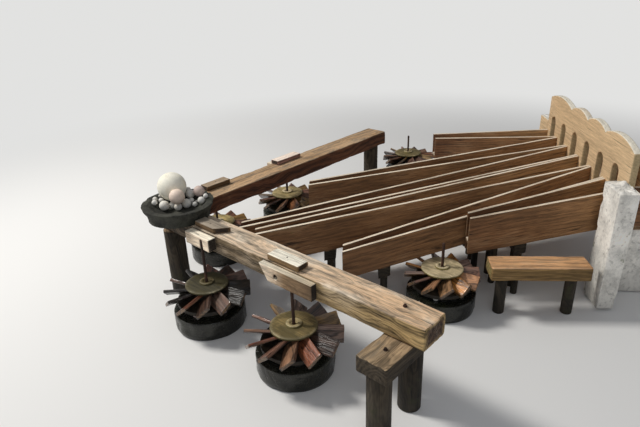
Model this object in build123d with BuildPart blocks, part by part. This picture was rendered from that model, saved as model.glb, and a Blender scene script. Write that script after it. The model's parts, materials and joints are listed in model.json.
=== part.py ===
from build123d import *
from math import atan, atan2, cos, degrees, hypot, radians, sin, sqrt
import os

# Stream-driven marble ball mill. Millimetres, +Z up, floor at Z = 0.
# The origin is the foot of the corner post; the front beam runs along +X,
# the rear beam along +Y, and the weir stands across the far right corner.

# Levels above the stream bed
beam_top = 760
disc_top = 360
stone_top = 158

# Beams and posts
beam_width = 235
beam_height = 155
beam_near_face = -55
beam_left_face = -225
front_beam_length = 2715
rear_beam_length = 3060
rear_beam_width = 265
lap_clearance = 0.3
post_radius = 88
post_side_count = 16
post_reach = 120

# Cap timber and its logs under the right end of the front beam
cap_width = 220
cap_thickness = 120
cap_near_end = -300
cap_overhang = 20
cap_inset = 75
log_radius = 80
log_side_count = 14
log_end_margin = 5

# Cleats on top of the beams. Along its beam, each has a low end, a high end, the line of
# its middle to the left of the origin, and half the skew of its high end.
front_cleats = ((393, 667, 13, 44), (1230, 1524, 3, 0))
rear_cleats = ((470, 735, 165, 0), (1355, 1687, 165, 0))
cleat_width = 106
cleat_thickness = 45

# Blocks on the near face of the front beam and the left face of the rear beam, each for
# one spindle: low end, high end, thickness, height, and how far the spindle stands off
# the beam
front_blocks = {
    "a": (380, 668, 75, 104, 69),
    "b": (1198, 1693, 52, 122, 26),
}
rear_blocks = {
    "d": (1365, 1690, 70, 122, 35),
    "f": (455, 735, 70, 122, 35),
}
block_drop = 8
notch_flare = 8
end_rake = 80
knot_hole_x = 1360
knot_hole_level = 690
knot_hole_radius = 19
knot_hole_side_count = 8

# Spindles and wheels
spindle_radius = 12
stone_socket_depth = 60
block_socket_depth = 84
socket_clearance = 0.3
bore_clearance = 2
stub_height = 216
paddle_count = 12
paddle_thickness = 28
paddle_width = 128
paddle_tilt = 40
disc_radius = 170
disc_thickness = 20
disc_side_count = 36
washer_radius = 60
washer_thickness = 16
core_radius = 116
runner_radius = 245
seat = 0.3

# Base stones, and the marble blanks that are ground between the stones: cubes with
# their edges and corners struck off, sized over their flats
stone_radius = 285
stone_side_count = 16
blank_size = 44
blank_count = 5
ring_radius = 185
groove_depth = 18
groove_side_count = 20

# Weir plank
slot_count = 6
slot_pitch = 300
slot_width = 120
slot_top = 1060
plank_bottom = 560
plank_thickness = 60
plank_left = -910
plank_right = 998
left_shoulder = 1246
right_shoulder = 1225
hump_crest = 1298
notch_top = 1257
notch_step = 16
notches = (-307, 89, 476)
weir_centre_x = 2236
weir_centre_y = 3017
weir_turn = -51.8

# Headrace box behind the plank
race_width = 340
race_board = 32
race_top = 955
race_floor_top = 625

# Stones and the short board at the ends of the weir
pier_width = 300
near_stone_left = 960
near_stone_width = 330
near_stone_depth = 200
near_stone_height = 1030
far_stone_width = 420
far_stone_depth = 300
far_stone_height = 970
side_board_width = 240
side_board_bottom = 560
side_board_top = 985

# Chutes: board tops meet the plank at one level and fall to their lower ends.
# For each: place along the weir and reach of the lower end, width there,
# fall per length of reach, and depth of the boards.
chute_start = 890
board_thickness = 30
floor_level = 680
floor_thickness = 25
floor_clearance = 0.3
chutes = {
    1: (-1010, 1200, 200, 0.0805, 290),
    2: (150, 2540, 130, 0.0805, 290),
    3: (1000, 3045, 130, 0.0805, 290),
    4: (1150, 2900, 130, 0.0805, 290),
    5: (1184, 2190, 140, 0.167, 258),
    6: (1053, 1190, 130, 0.117, 320),
}

# Trestles under the chutes, by the reach at which each stands
trestle_reaches = {
    1: (750,),
    2: (1000, 2000),
    3: (1000, 2300),
    4: (1000, 2300),
    5: (900, 1850),
    6: (750,),
}
bearer_length = 100
bearer_height = 90
leg_radius = 32
leg_side_count = 8
leg_inset = 36

# Squared step timber beside the last chute, on two short legs
step_left = 1170
step_width = 210
step_start = 300
step_end = 1050
step_top = 455
step_height = 115
step_leg_radius = 50
step_leg_inset = 110

# Bowl and its marbles. The two largest are ground in bands of flats.
bowl_x = 130
bowl_y = 0
bowl_side_count = 32
bowl_height = 125
bowl_outside = ((250, 0), (255, 46), (282, 92), (290, bowl_height))
hollow = ((100, 80), (185, 50), (242, 0))
marble_seat = 0.6
ball_side_count = 20
great_marble = (-142, 55, 119)
leaning_marble = (26, -15, 63)
leaning_height = 180
small_marbles = (
    (-64, 168, 38),
    (15, 205, 46),
    (112, 150, 29),
    (110, 198, 20),
    (6, 78, 39),
    (-17, 143, 22),
    (62, 117, 21),
    (-5, 1, 32),
    (-83, -76, 41),
    (-80, -3, 29),
    (-175, -44, 23),
    (-155, -118, 23),
    (-192, -88, 20),
    (-122, 192, 21),
    (-221, -22, 13),
    (28, 160, 12),
)

# Six-sided bolt heads
bolt_radius = 16
bolt_side_count = 6
bolt_height = 12
bolt_inset = 217
beam_bolt_y = 75
cap_bolt_y = -159

beam_underside = beam_top - beam_height
beam_far_face = beam_near_face + beam_width
beam_right_face = beam_left_face + rear_beam_width
beam_right_end = beam_left_face + front_beam_length
rear_beam_end = beam_near_face + rear_beam_length
paddle_top = disc_top - disc_thickness

# Wheels: place, radius over the paddles, and angle of the first paddle
wheel_e_gap = 532
wheels = {
    "a": (576, beam_near_face - front_blocks["a"][4], 335, 16),
    "b": (1489, beam_near_face - front_blocks["b"][4], 345, 7),
    "c": (1876, 1224, 300, 8),
    "d": (beam_left_face - rear_blocks["d"][4], 1600, 320, 0),
    "e": (23, rear_beam_end + wheel_e_gap, 320, 11),
    "f": (beam_left_face - rear_blocks["f"][4], 640, 320, 20),
}
turn = radians(weir_turn)
weir_plane = Plane(
    origin=(weir_centre_x, weir_centre_y, 0),
    x_dir=(cos(turn), sin(turn), 0),
    z_dir=(0, 0, 1),
)
weir_face = Plane(
    origin=weir_plane.origin,
    x_dir=weir_plane.x_dir,
    z_dir=(sin(turn), -cos(turn), 0),
)
weir_side = Plane(
    origin=weir_plane.origin,
    x_dir=weir_face.z_dir,
    z_dir=-weir_plane.x_dir,
)


def keep(part, label):
    """Label a finished piece and write it as its own file."""
    part.label = label
    export_step(part, f"parts/{label}.step")


def box_between(low, high):
    """Solid block between two corners, in the builder that is open."""
    size = [b - a for a, b in zip(low, high)]
    with Locations(low):
        Box(*size, align=(Align.MIN, Align.MIN, Align.MIN))


def weir_box(low, high):
    """Block between two corners given along the weir, upstream of it and up."""
    size = [b - a for a, b in zip(low, high)]
    with Locations(weir_plane.location * Location(low)):
        Box(*size, align=(Align.MIN, Align.MIN, Align.MIN))


def hewn_pole(radius, side_count, height):
    """Upright pole hewn to flats, on the floor at the origin."""
    with BuildPart() as pole:
        with BuildSketch():
            RegularPolygon(radius, side_count)
        extrude(amount=height)
    return pole.part


def hewn_round(profile, side_count):
    """Round form hewn to flats: a flat to the right, and a band between each two of the
    radii and levels of its profile."""
    half_side = radians(180 / side_count)
    rings = []
    for radius, level in profile:
        corner = radius / cos(half_side)
        angles = [(2 * side + 1) * half_side for side in range(side_count)]
        rings.append([Vector(corner * cos(a), corner * sin(a), level) for a in angles])
    outlines = [rings[0], rings[-1]]
    for lower, upper in zip(rings, rings[1:]):
        for side in range(side_count):
            outlines.append([lower[side - 1], lower[side], upper[side], upper[side - 1]])
    return Solid(Shell([Face(Wire.make_polygon(outline)) for outline in outlines]))


os.makedirs("parts", exist_ok=True)

# Front beam, with the upper half of the corner lap cut away
with BuildPart() as front_beam:
    box_between(
        (beam_left_face, beam_near_face, beam_underside),
        (beam_left_face + front_beam_length, beam_far_face, beam_top),
    )
    with Locations((beam_left_face, beam_near_face, beam_top - beam_height / 2)):
        Box(
            rear_beam_width + lap_clearance,
            beam_width,
            beam_height,
            align=(Align.MIN, Align.MIN, Align.MIN),
            mode=Mode.SUBTRACT,
        )
keep(front_beam.part, "front_beam")

# Rear beam, with the lower half of the lap cut away so that it drops onto the front beam
with BuildPart() as rear_beam:
    box_between(
        (beam_left_face, beam_near_face, beam_underside),
        (beam_right_face, beam_near_face + rear_beam_length, beam_top),
    )
    with Locations((beam_left_face, beam_near_face, beam_top - beam_height / 2)):
        Box(
            rear_beam_width,
            beam_width + lap_clearance,
            beam_height,
            align=(Align.MIN, Align.MIN, Align.MAX),
            mode=Mode.SUBTRACT,
        )
keep(rear_beam.part, "rear_beam")

# Round corner post, and its twin under the far end of the rear beam
post = hewn_pole(post_radius, post_side_count, beam_underside)
post_places = [
    (0, 0, 0),
    ((beam_left_face + beam_right_face) / 2, rear_beam_end - post_reach, 0),
]
with BuildPart() as beam_posts:
    with Locations(*post_places):
        add(post)
keep(beam_posts.part, "beam_posts")

# Cap timber across the right end of the front beam, on two logs
cap_right = beam_right_end - cap_inset
cap_far_end = beam_far_face + cap_overhang
cap_underside = beam_underside - cap_thickness
with BuildPart() as cap_timber:
    box_between(
        (cap_right - cap_width, cap_near_end, cap_underside),
        (cap_right, cap_far_end, beam_underside),
    )
keep(cap_timber.part, "cap_timber")

cap_centre = cap_right - cap_width / 2
log = hewn_pole(log_radius, log_side_count, cap_underside)
log_places = [
    (cap_centre, cap_near_end + log_radius + log_end_margin, 0),
    (cap_centre, cap_far_end - log_radius - log_end_margin, 0),
]
with BuildPart() as support_logs:
    with Locations(*log_places):
        add(log)
keep(support_logs.part, "support_logs")

# Cleats on top of the beams
front_run = Plane.XY.offset(beam_top)
rear_run = Plane(origin=(0, 0, beam_top), x_dir=(0, 1, 0), z_dir=(0, 0, 1))
with BuildPart() as beam_cleats:
    for run, cleats in ((front_run, front_cleats), (rear_run, rear_cleats)):
        with BuildSketch(run):
            for low, high, line, skew in cleats:
                Polygon(
                    (low, line - cleat_width / 2),
                    (high - skew, line - cleat_width / 2),
                    (high + skew, line + cleat_width / 2),
                    (low, line + cleat_width / 2),
                    align=None,
                )
        extrude(amount=cleat_thickness)
keep(beam_cleats.part, "beam_cleats")

# Blocks on the beam faces. Each has a mortise in its underside for the head of its
# spindle; that of block a is open to the near face and flares downward, and block b
# has a knot hole and a raked low end.
block_top = beam_top - block_drop
mortise_width = 2 * (spindle_radius + socket_clearance)
with BuildPart() as spindle_blocks:
    for low, high, thickness, height, _ in front_blocks.values():
        box_between(
            (low, beam_near_face - thickness, block_top - height),
            (high, beam_near_face, block_top),
        )
    for low, high, thickness, height, _ in rear_blocks.values():
        box_between(
            (beam_left_face - thickness, low, block_top - height),
            (beam_left_face, high, block_top),
        )
    for letter, (low, high, thickness, height, _) in {**front_blocks, **rear_blocks}.items():
        with Locations((*wheels[letter][:2], block_top - height)):
            Box(
                mortise_width,
                mortise_width,
                block_socket_depth,
                align=(Align.CENTER, Align.CENTER, Align.MIN),
                mode=Mode.SUBTRACT,
            )
    notch_x, notch_y = wheels["a"][:2]
    notch_foot = block_top - front_blocks["a"][3]
    with BuildSketch(Plane.XZ.offset(-notch_y)):
        Polygon(
            (notch_x - mortise_width / 2 - notch_flare, notch_foot),
            (notch_x - mortise_width / 2, notch_foot + block_socket_depth),
            (notch_x + mortise_width / 2, notch_foot + block_socket_depth),
            (notch_x + mortise_width / 2 + notch_flare, notch_foot),
            align=None,
        )
    extrude(amount=front_blocks["a"][2], mode=Mode.SUBTRACT)
    raked_low, _, raked_thickness, raked_height, _ = front_blocks["b"]
    with BuildSketch(Plane.XZ.offset(-beam_near_face)):
        with Locations((knot_hole_x, knot_hole_level)):
            RegularPolygon(knot_hole_radius, knot_hole_side_count)
        Polygon(
            (raked_low, block_top),
            (raked_low, block_top - raked_height),
            (raked_low + end_rake, block_top - raked_height),
            align=None,
        )
    extrude(amount=raked_thickness, mode=Mode.SUBTRACT)
keep(spindle_blocks.part, "spindle_blocks")

# Iron spindles, standing in sockets in the base stones
spindle_foot = stone_top - stone_socket_depth
with BuildPart() as spindles:
    for letter, (x, y, _, _) in wheels.items():
        block = {**front_blocks, **rear_blocks}.get(letter)
        if block:
            spindle_head = block_top - block[3] + block_socket_depth - socket_clearance
        else:
            spindle_head = disc_top + stub_height
        with Locations((x, y, spindle_foot)):
            Cylinder(
                spindle_radius,
                spindle_head - spindle_foot,
                align=(Align.CENTER, Align.CENTER, Align.MIN),
            )
keep(spindles.part, "spindles")

# Base stones, roughly round, with a V-shaped ring groove and a socket each. The core
# fills the middle of the hollow that the groove's outer side leaves.
groove_hollow = hewn_round(
    ((ring_radius, stone_top - groove_depth), (ring_radius + groove_depth, stone_top)),
    groove_side_count,
)
groove_core = hewn_round(
    ((ring_radius, stone_top - groove_depth), (ring_radius - groove_depth, stone_top)),
    groove_side_count,
)
with BuildPart() as stone_blank:
    with BuildSketch():
        RegularPolygon(stone_radius, stone_side_count)
    extrude(amount=stone_top)
    add(groove_hollow, mode=Mode.SUBTRACT)
    add(groove_core)
    with Locations((0, 0, stone_top)):
        Hole(spindle_radius + socket_clearance, depth=stone_socket_depth)

with BuildPart() as base_stones:
    with Locations(*[place[:2] for place in wheels.values()]):
        add(stone_blank.part)
keep(base_stones.part, "base_stones")


def struck_cube(half_size):
    """Marble with six faces, and its edges and corners struck off to equal flats."""
    size = 2 * half_size
    with BuildPart() as cube:
        Box(size, size, size)
        chamfer(cube.edges(), length=size - half_size * sqrt(2))
    return cube.part


# Marbles that lie with two flats against the sides of the grooves
marble_centre = stone_top - groove_depth + (blank_size / 2 + seat) * sqrt(2)
marble = struck_cube(blank_size / 2)
with BuildPart() as grinding_marbles:
    for x, y, _, _ in wheels.values():
        with Locations((x, y, marble_centre)):
            with PolarLocations(ring_radius, blank_count):
                add(marble)
keep(grinding_marbles.part, "grinding_marbles")

# Wheels: a grinding runner with its core, whose flats each carry a slanted paddle, and
# a top disc with its washer
slant = radians(paddle_tilt)
paddle_rise = paddle_width * sin(slant) + paddle_thickness * cos(slant)
paddle_middle = paddle_top - seat - paddle_rise / 2
runner_bottom = marble_centre + blank_size / 2 + seat
runner_top = paddle_middle - paddle_rise / 2 - seat
half_step = 180 / paddle_count

for letter, (x, y, reach, start) in wheels.items():
    with BuildPart() as runner:
        with BuildSketch(Plane.XY.offset(runner_bottom)):
            with Locations((x, y)):
                RegularPolygon(runner_radius, disc_side_count)
        extrude(amount=runner_top - runner_bottom)
        with BuildSketch(Plane.XY.offset(runner_top)):
            with Locations((x, y)):
                RegularPolygon(core_radius, paddle_count, major_radius=False, rotation=start + half_step)
        extrude(amount=paddle_top - runner_top)
        with Locations((x, y, paddle_top)):
            Hole(spindle_radius + bore_clearance)
    keep(runner.part, f"wheel_{letter}_runner")

    with BuildPart() as paddle:
        with BuildSketch(Plane.YZ.offset(core_radius + seat)):
            with Locations((0, paddle_middle)):
                Rectangle(paddle_width, paddle_thickness, rotation=paddle_tilt)
        extrude(amount=reach - core_radius - seat)

    with BuildPart() as paddles:
        with Locations((x, y, 0)):
            with PolarLocations(0, paddle_count, start_angle=start):
                add(paddle.part)
    keep(paddles.part, f"wheel_{letter}_paddles")

    with BuildPart() as disc:
        with BuildSketch(Plane.XY.offset(paddle_top)):
            with Locations((x, y)):
                RegularPolygon(disc_radius, disc_side_count)
        extrude(amount=disc_thickness)
        with BuildSketch(Plane.XY.offset(disc_top)):
            with Locations((x, y)):
                RegularPolygon(washer_radius, paddle_count)
        extrude(amount=washer_thickness)
        with Locations((x, y, disc_top + washer_thickness)):
            Hole(spindle_radius + bore_clearance)
    keep(disc.part, f"wheel_{letter}_disc")

# Weir plank: scalloped top and arched slots, drawn on its downstream face
first_slot = -(slot_count - 1) * slot_pitch / 2
slots = [first_slot + k * slot_pitch for k in range(slot_count)]
hump_starts = [(plank_left, left_shoulder), *[(s, notch_top) for s in notches]]
hump_ends = [*[(s, notch_top - notch_step) for s in notches], (plank_right, right_shoulder)]
with BuildPart() as weir_plank:
    with BuildSketch(weir_face):
        with BuildLine():
            Polyline(
                hump_starts[0],
                (plank_left, plank_bottom),
                (plank_right, plank_bottom),
                hump_ends[-1],
            )
            for start, end in zip(hump_starts, hump_ends):
                ThreePointArc(start, ((start[0] + end[0]) / 2, hump_crest), end)
            for end, start in zip(hump_ends[:-1], hump_starts[1:]):
                Line(end, start)
        make_face()
        with Locations(*[(s, floor_level) for s in slots]):
            Rectangle(
                slot_width,
                slot_top - floor_level - slot_width / 2,
                align=(Align.CENTER, Align.MIN),
                mode=Mode.SUBTRACT,
            )
        with Locations(*[(s, slot_top - slot_width / 2) for s in slots]):
            Circle(slot_width / 2, mode=Mode.SUBTRACT)
    extrude(amount=-plank_thickness)
keep(weir_plank.part, "weir_plank")

# Headrace box: floor, back board and two ends behind the plank
race_back = plank_thickness + race_width
with BuildPart() as headrace_floor:
    weir_box(
        (plank_left, plank_thickness, race_floor_top - race_board),
        (plank_right, race_back + race_board, race_floor_top),
    )
keep(headrace_floor.part, "headrace_floor")

with BuildPart() as headrace_back:
    weir_box(
        (plank_left, race_back, race_floor_top),
        (plank_right, race_back + race_board, race_top),
    )
keep(headrace_back.part, "headrace_back")

with BuildPart() as headrace_ends:
    for side in (plank_left, plank_right - race_board):
        weir_box(
            (side, plank_thickness, race_floor_top),
            (side + race_board, race_back, race_top),
        )
keep(headrace_ends.part, "headrace_ends")

# Piers under the two ends of the box
pier_top = race_floor_top - race_board
with BuildPart() as headrace_piers:
    for left in (plank_left, plank_right - pier_width):
        weir_box((left, plank_thickness, 0), (left + pier_width, race_back, pier_top))
keep(headrace_piers.part, "headrace_piers")

# Standing stones at the two ends of the weir, and the short board at its far end
with BuildPart() as end_stones:
    weir_box(
        (near_stone_left, -near_stone_depth, 0),
        (near_stone_left + near_stone_width, 0, near_stone_height),
    )
    weir_box(
        (plank_left - far_stone_width, race_board, 0),
        (plank_left, race_board + far_stone_depth, far_stone_height),
    )
keep(end_stones.part, "end_stones")

with BuildPart() as side_board:
    weir_box(
        (plank_left - side_board_width, 0, side_board_bottom),
        (plank_left, race_board, side_board_top),
    )
keep(side_board.part, "side_board")

# Chutes, in plan from the plank to their lower ends
half_pitch = slot_pitch / 2


def chute_edge(number, side, reach, inset=0):
    """Place along the weir of a chute's outer face at a reach, or inset from it."""
    along, length, nozzle, fall, depth = chutes[number]
    start = slots[number - 1] + side * half_pitch
    end = along + side * nozzle / 2
    slope = (end - start) / length
    return start + slope * reach - side * inset * sqrt(1 + slope**2)


def strip(number, inset, reach_low, reach_high):
    """Plan outline across one chute between two reaches, inset from both faces."""
    return [
        (chute_edge(number, -1, reach_low, inset), -reach_low),
        (chute_edge(number, 1, reach_low, inset), -reach_low),
        (chute_edge(number, 1, reach_high, inset), -reach_high),
        (chute_edge(number, -1, reach_high, inset), -reach_high),
    ]


def band(number, top, thickness, reach_low, reach_high):
    """Side outline that falls with a chute, from its level at the plank."""
    fall = chutes[number][3]
    return [
        (reach_low, top - fall * reach_low),
        (reach_high, top - fall * reach_high),
        (reach_high, top - fall * reach_high - thickness),
        (reach_low, top - fall * reach_low - thickness),
    ]


chute_span = 2 * max(abs(chutes[number][0]) + slot_pitch for number in chutes)
for number, (along, length, nozzle, fall, depth) in chutes.items():
    with BuildPart() as sides:
        for side in (-1, 1):
            with BuildSketch(weir_plane):
                Polygon(
                    (chute_edge(number, side, 0), 0),
                    (chute_edge(number, side, length), -length),
                    (chute_edge(number, side, length, board_thickness), -length),
                    (chute_edge(number, side, 0, board_thickness), 0),
                    align=None,
                )
            extrude(amount=chute_start)
        with BuildSketch(weir_side):
            Polygon(*band(number, chute_start, depth, 0, length), align=None)
        extrude(amount=chute_span, both=True, mode=Mode.INTERSECT)
    keep(sides.part, f"chute_{number}_sides")

# Floor boards between the chute sides
inner = board_thickness + floor_clearance
floor_solids = []
for number in chutes:
    length = chutes[number][1]
    with BuildPart() as floor:
        with BuildSketch(weir_plane):
            Polygon(*strip(number, inner, 0, length), align=None)
        extrude(amount=chute_start)
        with BuildSketch(weir_side):
            Polygon(*band(number, floor_level, floor_thickness, 0, length), align=None)
        extrude(amount=chute_span, both=True, mode=Mode.INTERSECT)
    floor_solids.append(floor.part)

with BuildPart() as chute_floors:
    add(floor_solids)
keep(chute_floors.part, "chute_floors")

# Trestles: a bearer across under the boards, on two round legs
bearer_solids = []
leg_places = []
for number, reaches in trestle_reaches.items():
    along, length, nozzle, fall, depth = chutes[number]
    bearer_top = chute_start - depth
    for reach in reaches:
        low, high = reach - bearer_length / 2, reach + bearer_length / 2
        with BuildPart() as bearer:
            with BuildSketch(weir_plane):
                Polygon(*strip(number, 0, low, high), align=None)
            extrude(amount=chute_start)
            with BuildSketch(weir_side):
                Polygon(*band(number, bearer_top, bearer_height, low, high), align=None)
            extrude(amount=chute_span, both=True, mode=Mode.INTERSECT)
        bearer_solids.append(bearer.part)
        leg_top = bearer_top - bearer_height - fall * reach
        for side in (-1, 1):
            leg_places.append((chute_edge(number, side, reach, leg_inset), -reach, leg_top, fall))

with BuildPart() as trestle_bearers:
    add(bearer_solids)
keep(trestle_bearers.part, "trestle_bearers")

# Step timber beside the last chute
with BuildPart() as step_timber:
    weir_box(
        (step_left, -step_end, step_top - step_height),
        (step_left + step_width, -step_start, step_top),
    )
keep(step_timber.part, "step_timber")

# Pole legs under the bearers and the step timber
step_middle = step_left + step_width / 2
legs = []
for along, upstream, leg_top, fall in leg_places:
    leg = hewn_pole(leg_radius, leg_side_count, leg_top - fall * leg_radius)
    legs.append(leg.moved(weir_plane.location * Location((along, upstream, 0))))
for reach in (step_start + step_leg_inset, step_end - step_leg_inset):
    leg = hewn_pole(step_leg_radius, leg_side_count, step_top - step_height)
    legs.append(leg.moved(weir_plane.location * Location((step_middle, -reach, 0))))
with BuildPart() as trestle_legs:
    add(legs)
keep(trestle_legs.part, "trestle_legs")

# Stone bowl on the beams' corner, hollowed in two slopes and a flat bottom
bowl_rim = beam_top + bowl_height
bowl_block = hewn_round([(radius, beam_top + rise) for radius, rise in bowl_outside], bowl_side_count)
bowl_hollow = hewn_round([(radius, bowl_rim - depth) for radius, depth in hollow], bowl_side_count)
with BuildPart() as stone_bowl:
    add(bowl_block)
    add(bowl_hollow, mode=Mode.SUBTRACT)
keep(stone_bowl.part.moved(Location((bowl_x, bowl_y, 0))), "stone_bowl")


def resting(distance, radius):
    """Height and slope at which a marble lies in the hollow, so far from its middle."""
    lies = [(bowl_rim - hollow[0][1] + radius + marble_seat, 0)]
    for (low, depth), (high, rise_depth) in zip(hollow, hollow[1:]):
        slope = (depth - rise_depth) / (high - low)
        surface = bowl_rim - depth + slope * (distance - low)
        height = surface + (radius + marble_seat) * hypot(1, slope)
        lies.append((height, degrees(atan(slope))))
    return max(lies)


def ground_ball(radius):
    """Large marble ground in bands, each tangent to the sphere of its radius."""
    step = 360 / ball_side_count
    corner = radius / cos(radians(step / 2))
    levels = [radians((k + 0.5) * step - 90) for k in range(ball_side_count // 2)]
    return hewn_round([(corner * cos(a), corner * sin(a)) for a in levels], ball_side_count)


def lain(dx, dy, radius):
    """Place of a marble that lies in the hollow on one of its flats."""
    height, lean = resting(hypot(dx, dy), radius)
    facing = degrees(atan2(dy, dx))
    return Location((bowl_x + dx, bowl_y + dy, height), (0, 0, facing)) * Rot(0, -lean, 0)


# Marbles in the bowl: offset from the bowl's middle, and radius. All but the leaning one
# lie in the hollow; that one leans on the great one.
with BuildPart() as bowl_marbles:
    add(ground_ball(great_marble[2]).moved(lain(*great_marble)))
    leaning_x, leaning_y, leaning_radius = leaning_marble
    with Locations((bowl_x + leaning_x, bowl_y + leaning_y, beam_top + leaning_height)):
        add(ground_ball(leaning_radius))
    for dx, dy, radius in small_marbles:
        add(struck_cube(radius).moved(lain(dx, dy, radius)))
keep(bowl_marbles.part, "bowl_marbles")

# Bolt heads on the front beam and on the cap timber
with BuildPart() as bolt_heads:
    for place in (
        (beam_right_end - bolt_inset, beam_bolt_y, beam_top),
        (cap_centre, cap_bolt_y, beam_underside),
    ):
        with BuildSketch(Plane(origin=place)):
            RegularPolygon(bolt_radius, bolt_side_count)
        extrude(amount=bolt_height)
keep(bolt_heads.part, "bolt_heads")
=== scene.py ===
import json
import math

import bpy
import numpy as np
from mathutils import Matrix, Vector


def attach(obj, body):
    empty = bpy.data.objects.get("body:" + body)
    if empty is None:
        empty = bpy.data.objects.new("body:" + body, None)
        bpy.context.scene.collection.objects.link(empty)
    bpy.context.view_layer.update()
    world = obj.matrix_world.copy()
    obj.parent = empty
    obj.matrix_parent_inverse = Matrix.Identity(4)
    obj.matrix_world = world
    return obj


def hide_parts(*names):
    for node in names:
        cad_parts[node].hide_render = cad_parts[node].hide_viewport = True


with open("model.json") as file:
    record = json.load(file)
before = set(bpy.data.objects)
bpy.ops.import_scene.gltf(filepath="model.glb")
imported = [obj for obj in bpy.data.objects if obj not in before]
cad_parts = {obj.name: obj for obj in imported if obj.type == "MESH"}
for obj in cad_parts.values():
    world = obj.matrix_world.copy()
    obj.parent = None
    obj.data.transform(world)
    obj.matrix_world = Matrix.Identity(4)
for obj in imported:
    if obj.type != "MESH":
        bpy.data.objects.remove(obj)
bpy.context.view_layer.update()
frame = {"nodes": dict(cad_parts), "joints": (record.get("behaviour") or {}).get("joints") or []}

# Looks of the marble ball mill: hewn timber, wet boards, worn wheels and stone.
# Metres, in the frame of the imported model, whose solids give every place and size.

rng = np.random.default_rng(11)

UP = np.array((0.0, 0.0, 1.0))
WHEELS = {joint["child"]: np.array(joint["pos_m"]) for joint in frame["joints"]}
SPLASH_TOP = 0.42  # wood and stone are damp below this height
LEVEL_GAP = 1e-3  # points closer than this count as one height or radius


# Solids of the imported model


def pieces(node):
    """The separate solids of a CAD node: corner points, and the flats' normals and places."""
    mesh = frame["nodes"][node].data
    points = np.array([v.co for v in mesh.vertices])
    keys = {}
    merged = [keys.setdefault(tuple(np.round(p, 5)), len(keys)) for p in points]
    owner = list(range(len(keys)))

    def root(i):
        while owner[i] != i:
            i = owner[i]
        return i

    for polygon in mesh.polygons:
        first = root(merged[polygon.vertices[0]])
        for vertex in polygon.vertices:
            owner[root(merged[vertex])] = first
    corners, normals, places = {}, {}, {}
    for key, index in keys.items():
        corners.setdefault(root(index), []).append(key)
    for polygon in mesh.polygons:
        group = root(merged[polygon.vertices[0]])
        normals.setdefault(group, []).append(polygon.normal)
        places.setdefault(group, []).append(points[polygon.vertices[0]])
    found = [tuple(np.array(part[group]) for part in (corners, normals, places)) for group in corners]
    return sorted(found, key=lambda piece: tuple(np.round(piece[0].mean(0), 3)))


def solids(node):
    """Corner points of each solid of a node."""
    return [corners for corners, _, _ in pieces(node)]


def extent(points):
    """Lowest corner, highest corner and centre of the box round some points."""
    low, high = points.min(0), points.max(0)
    return low, high, (low + high) / 2


def reach_from(centre, points):
    """Level distance of each point from an upright axis."""
    return np.hypot(*(points - centre)[:, :2].T)


def inside(flats):
    """Share of a corner's distance at which a circle fits inside as many flats."""
    return math.cos(math.pi / flats) if flats else 1


def unit(vector):
    """The vector at length one."""
    return vector / np.linalg.norm(vector)


def circle(count):
    """Cosines and sines of even angles round a circle."""
    angles = np.linspace(0, 2 * math.pi, count, endpoint=False)
    return np.cos(angles), np.sin(angles)


def end_faces(points, axis, up=UP):
    """The two end faces of a six-sided solid along an axis, as matching corner lists."""
    axis = unit(np.asarray(axis, float))
    side = unit(np.cross(up, axis))
    order = np.argsort(points @ axis)
    faces = []
    for chosen in (order[:4], order[4:]):
        rows = points[chosen][np.argsort(points[chosen] @ up)]
        low, high = (pair[np.argsort(pair @ side)] for pair in (rows[:2], rows[2:]))
        faces.append(np.array((*low, *high[::-1])))
    return faces


# Noise for hewn and worn surfaces

HASH_AXES = (73856093, 19349663, 83492791)
HASH_SEED = 2654435761
HASH_MIX = 1274126177
NOISE_LAYERS = 3


def lattice(cells, seed):
    """A fixed random value from -1 to 1 for each whole-number cell."""
    x, y, z = (cells[..., axis] * factor for axis, factor in enumerate(HASH_AXES))
    mixed = x ^ y ^ z ^ (seed * HASH_SEED)
    mixed = (mixed ^ (mixed >> 13)) * HASH_MIX
    mixed = mixed ^ (mixed >> 16)
    return (mixed & 0xFFFF) / 32767.5 - 1


def ripple(points, size, seed):
    """Smooth noise from -1 to 1 at the points, with features of the size given."""
    scaled = np.asarray(points, float) / size
    cell = np.floor(scaled).astype(np.int64)
    part = scaled - cell
    part = part * part * (3 - 2 * part)
    total = np.zeros(scaled.shape[:-1])
    for step in np.ndindex(2, 2, 2):
        share = np.prod(np.where(np.array(step) == 1, part, 1 - part), axis=-1)
        total += share * lattice(cell + step, seed)
    return total


def rough(points, size, seed):
    """Noise with finer and weaker layers on top, from about -1 to 1."""
    total = 0
    for layer in range(NOISE_LAYERS):
        total = total + ripple(points, size / 2**layer, seed + 7 * layer) / 2**layer
    return total / (2 - 2 ** (1 - NOISE_LAYERS))


def depth_share(points, size, seed):
    """The same noise from 0 to 1, as a share of the deepest wear."""
    return 0.5 + 0.5 * rough(points, size, seed)


# Mesh building

HEW_STRETCH = (0.25, 1, 1)
CHIP_STRETCH = (0.6, 1, 1)
CHIP_SIZE = 0.09
RIM_CHIP_SIZE = 0.07
RIM_BAND = 0.013
CHIP_SEED = 40
POLE_HEW_SIZE = 0.12
COPY_STRETCH = (0.3, 1, 1)
COPY_HEW_SIZE = 0.1
COPY_SEED = 5
COPY_PITH = (3.0, 0.05, 0.12)
RIB_EVERY = 3
AXIS_GAP = 0.004  # radius at which a turned piece without a bore closes
EASING_PASSES = 2


def placed(name, data):
    """A new object in the scene."""
    piece = bpy.data.objects.new(name, data)
    bpy.context.scene.collection.objects.link(piece)
    return piece


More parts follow.
